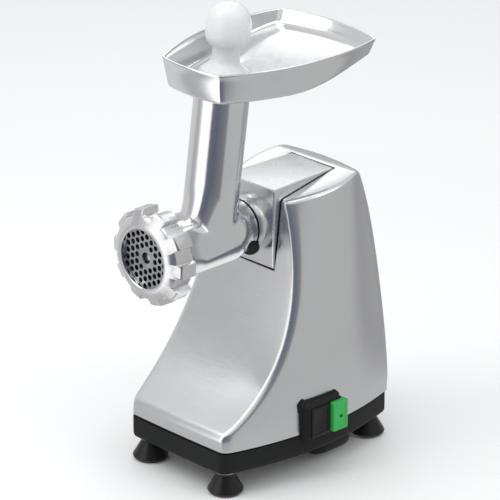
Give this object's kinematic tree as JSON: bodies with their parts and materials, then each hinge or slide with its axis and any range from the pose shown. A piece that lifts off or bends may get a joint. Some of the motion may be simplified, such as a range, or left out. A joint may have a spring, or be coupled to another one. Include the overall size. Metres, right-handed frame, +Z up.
{
  "type": "electric meat grinder",
  "caption": "Electric meat grinder: swept metal casing on a black base with suction feet, horizontal auger head with ring nut and cutting plate, leaning feed tube, wide hopper tray and pusher.",
  "frame": {"origin": "centre of the bounding box at the plane the feet stand on", "axes": "+Z up, -Y the way the grinding head points, +X the side with the switch; the machine's own centre plane is at X = -0.0069 m"},
  "size_m": [0.1786, 0.2608, 0.4506],
  "materials": {
    "polished_aluminium": "polished cast aluminium, brushed on the casing sides",
    "cast_aluminium": "fine cast, satin",
    "steel": "ground and lightly polished",
    "lamination_steel": "stacked laminations, oiled",
    "black_plastic": "moulded, fine grain",
    "black_gloss": "moulded, semi-gloss",
    "green_gloss": "moulded, gloss",
    "white_plastic": "translucent food-safe plastic, soft gloss",
    "black_rubber": "moulded rubber, matt",
    "bronze": "sintered bronze",
    "copper_winding": "varnished copper winding on a steel core",
    "nylon": "moulded nylon, greased",
    "capacitor_can": "drawn can"
  },
  "bodies": {
    "housing": {"base": "black_plastic", "casing": "polished_aluminium", "coupling_block": "cast_aluminium", "foot_front_left": "black_rubber", "foot_rear_left": "black_rubber", "foot_front_right": "black_rubber", "foot_rear_right": "black_rubber", "foot_washer_front_left": "steel", "foot_washer_rear_left": "steel", "foot_washer_front_right": "steel", "foot_washer_rear_right": "steel", "foot_screw_front_left": "steel", "foot_screw_rear_left": "steel", "foot_screw_front_right": "steel", "foot_screw_rear_right": "steel", "terminal_cover": "black_plastic", "switch_housing": "black_plastic", "output_bearing": "bronze", "gear_plate": "steel", "idler_axle": "steel", "stator": "lamination_steel", "front_end_bell": "cast_aluminium", "rear_end_bell": "cast_aluminium", "motor_bracket": "steel", "capacitor": "capacitor_can"},
    "motor_armature": {"motor_shaft": "steel", "rotor": "copper_winding", "cooling_fan": "black_plastic", "motor_pinion": "steel"},
    "idler": {"idler_gear": "nylon"},
    "output": {"output_shaft": "steel", "output_gear": "steel"},
    "stop_switch": {"stop_button": "black_gloss"},
    "start_switch": {"start_button": "green_gloss"},
    "lock": {"lock_ring": "black_gloss"},
    "head": {"head_body": "polished_aluminium", "rear_bush": "bronze", "cutting_plate": "steel"},
    "feed_screw": {"auger": "steel", "cross_knife": "steel"},
    "nut": {"ring_nut": "polished_aluminium"},
    "tray": {"hopper_tray": "polished_aluminium"},
    "plunger": {"pusher": "white_plastic"}
  },
  "joints": [
    {"name": "motor_spin", "type": "hinge", "parent": "housing", "child": "motor_armature", "pos_m": [-0.00692, 0.0624, 0.144], "axis": [0, 1, 0], "continuous": true},
    {"name": "idler_spin", "type": "hinge", "parent": "housing", "child": "idler", "pos_m": [-0.00692, 0.0974, 0.1866], "axis": [0, 1, 0], "continuous": true},
    {"name": "output_spin", "type": "hinge", "parent": "housing", "child": "output", "pos_m": [-0.00692, 0.0744, 0.2315], "axis": [0, 1, 0], "continuous": true},
    {"name": "head_release", "type": "slide", "parent": "housing", "child": "head", "axis": [0, -1, 0], "range_m": [0, 0.06]},
    {"name": "auger_spin", "type": "hinge", "parent": "head", "child": "feed_screw", "pos_m": [-0.00692, -0.0676, 0.2315], "axis": [0, 1, 0], "continuous": true},
    {"name": "ring_nut_turn", "type": "hinge", "parent": "head", "child": "nut", "pos_m": [-0.00692, -0.1176, 0.2315], "axis": [0, -1, 0], "range_deg": [0, 720]},
    {"name": "lock_turn", "type": "hinge", "parent": "housing", "child": "lock", "pos_m": [-0.00692, 0.0004, 0.2315], "axis": [0, -1, 0], "range_deg": [0, 35]},
    {"name": "tray_lift", "type": "slide", "parent": "head", "child": "tray", "axis": [0, 0.138, 0.9904], "range_m": [0, 0.03]},
    {"name": "pusher_draw", "type": "slide", "parent": "tray", "child": "plunger", "axis": [0, 0.138, 0.9904], "range_m": [0, 0.14]},
    {"name": "stop_press", "type": "slide", "parent": "housing", "child": "stop_switch", "axis": [-1, 0, 0], "range_m": [0, 0.0022], "stiffness_N_per_m": 400},
    {"name": "start_press", "type": "slide", "parent": "housing", "child": "start_switch", "axis": [-1, 0, 0], "range_m": [0, 0.0022], "stiffness_N_per_m": 400}
  ],
  "couplings": [
    {"joint": "output_spin", "follows": "motor_spin", "ratio": 0.086957},
    {"joint": "idler_spin", "follows": "motor_spin", "ratio": -0.23913},
    {"joint": "auger_spin", "follows": "motor_spin", "ratio": 0.086957}
  ]
}
